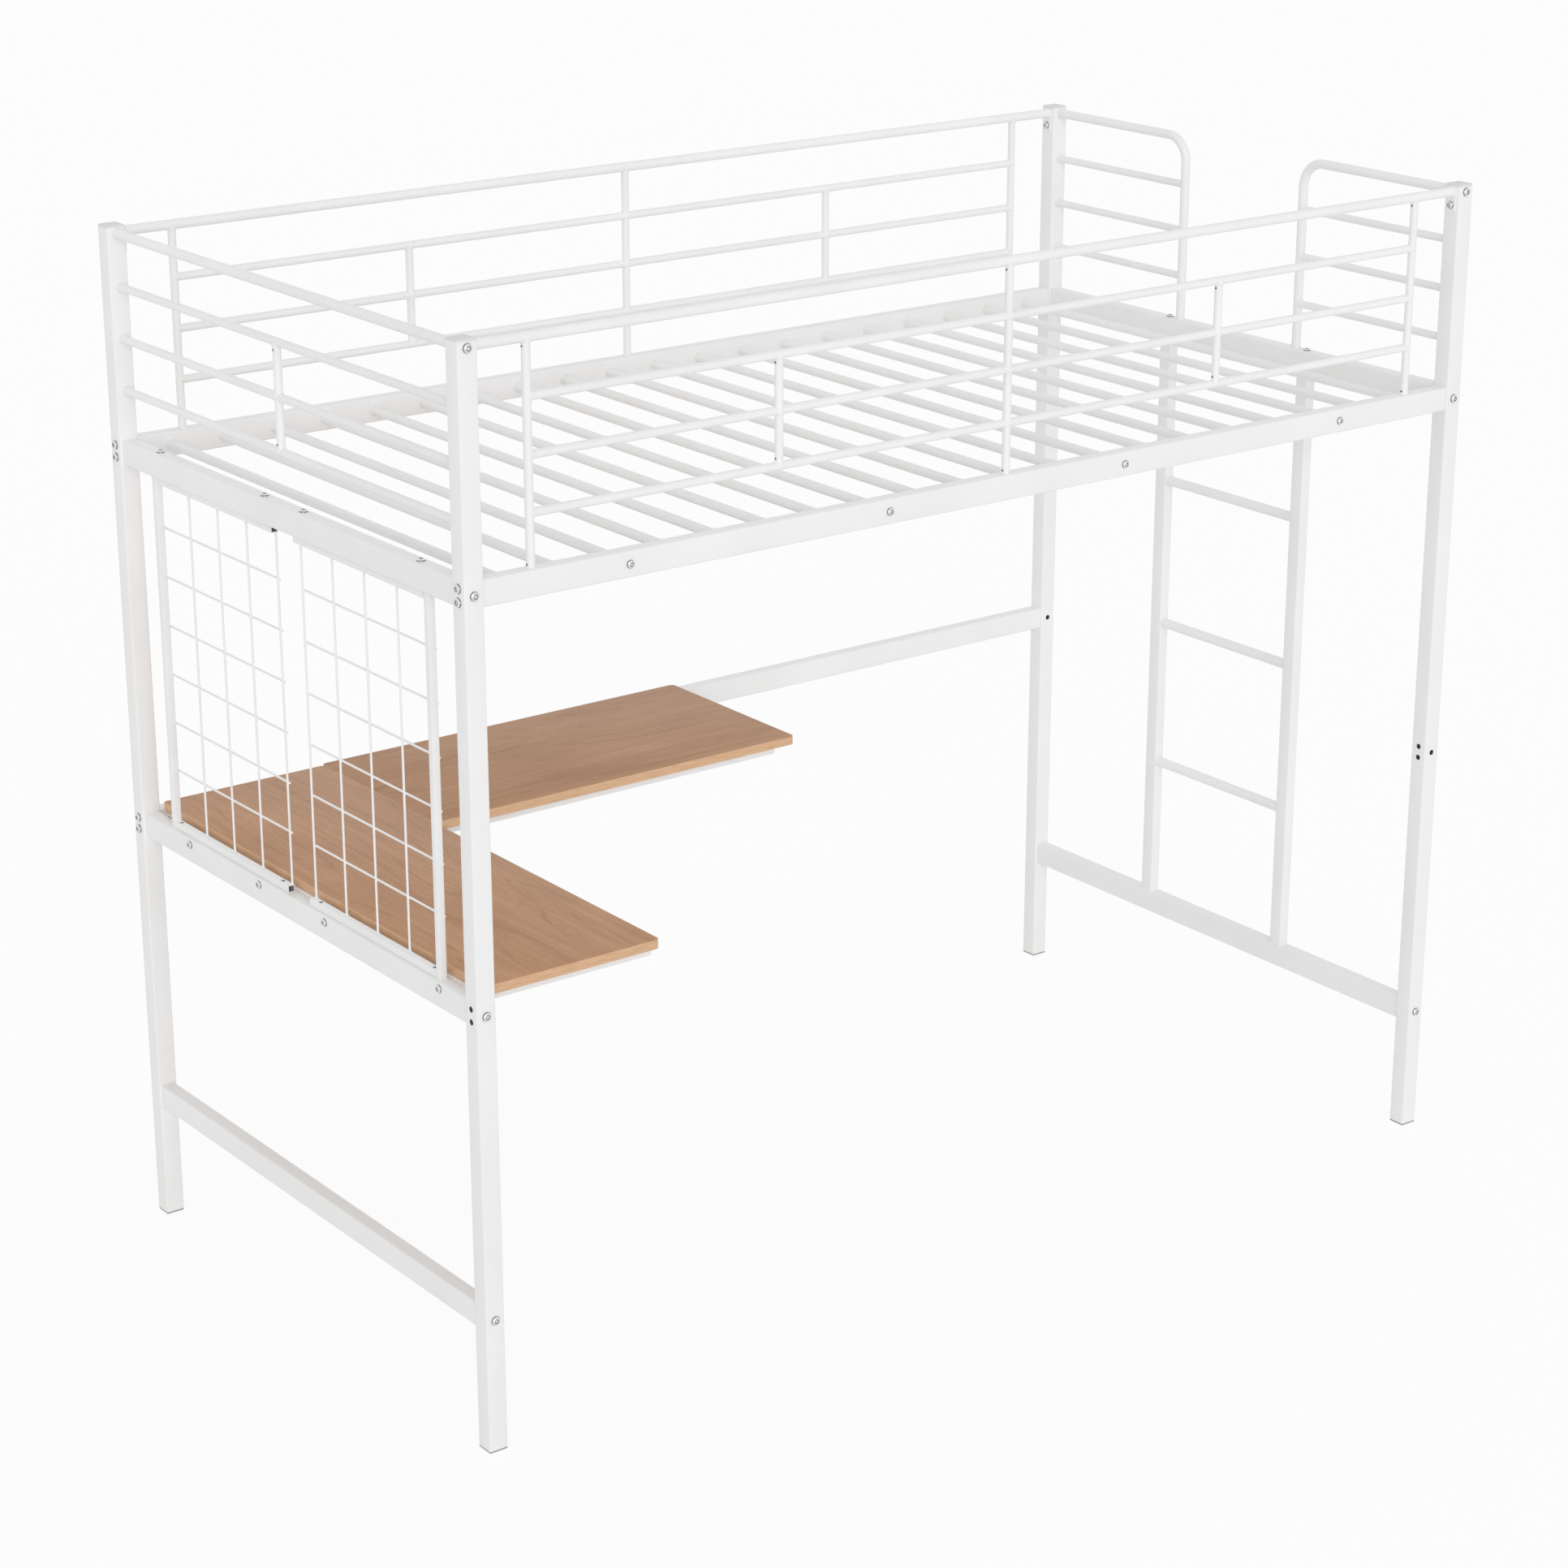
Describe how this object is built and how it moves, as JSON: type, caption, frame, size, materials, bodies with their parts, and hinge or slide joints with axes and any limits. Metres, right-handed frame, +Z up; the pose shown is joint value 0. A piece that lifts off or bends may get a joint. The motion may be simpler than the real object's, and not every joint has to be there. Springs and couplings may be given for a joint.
{
  "type": "loft bed with desk",
  "caption": "High single bed of white steel tube with guard rails, an end ladder, tube slats, wire end grids and an L-shaped wood-look desk below.",
  "frame": {"origin": "on the floor, under the middle of the bed", "axes": "+X along the bed towards the ladder end, +Y across it towards the back, +Z up"},
  "size_m": [1.988, 1.058, 1.7],
  "materials": {
    "white_frame": "semi-gloss white powder coat",
    "oak_board": "matt oak-grain laminate with a paler edge band",
    "white_plastic": "matt white moulded plastic",
    "grey_plastic": "matt grey moulded plastic",
    "zinc_bolts": "bright zinc plate"
  },
  "bodies": {
    "root": {"back_desk_rail": "white_frame", "cap_back_left": "white_plastic", "cap_back_right": "white_plastic", "cap_front_left": "white_plastic", "cap_front_right": "white_plastic", "desk_board_back": "oak_board", "desk_board_end": "oak_board", "desk_frame_back": "white_frame", "desk_frame_end": "white_frame", "entry_handle_back": "white_frame", "entry_handle_front": "white_frame", "foot_back_left": "grey_plastic", "foot_back_right": "grey_plastic", "foot_front_left": "grey_plastic", "foot_front_right": "grey_plastic", "guard_back": "white_frame", "guard_front": "white_frame", "ladder": "white_frame", "left_bed_rail": "white_frame", "left_bottom_rail": "white_frame", "left_desk_rail": "white_frame", "left_guard": "white_frame", "left_top_tube": "white_frame", "post_back_left": "white_frame", "post_back_right": "white_frame", "post_bolts": "zinc_bolts", "post_front_left": "white_frame", "post_front_right": "white_frame", "right_bed_rail": "white_frame", "right_bottom_rail": "white_frame", "side_rail_back": "white_frame", "side_rail_front": "white_frame", "slat_01": "white_frame", "slat_02": "white_frame", "slat_03": "white_frame", "slat_04": "white_frame", "slat_05": "white_frame", "slat_06": "white_frame", "slat_07": "white_frame", "slat_08": "white_frame", "slat_09": "white_frame", "slat_10": "white_frame", "slat_11": "white_frame", "slat_12": "white_frame", "slat_13": "white_frame", "slat_14": "white_frame", "slat_15": "white_frame", "slat_16": "white_frame", "slat_17": "white_frame", "slat_18": "white_frame", "slat_19": "white_frame", "slat_20": "white_frame", "wire_grid_back": "white_frame", "wire_grid_front": "white_frame"}
  },
  "joints": []
}
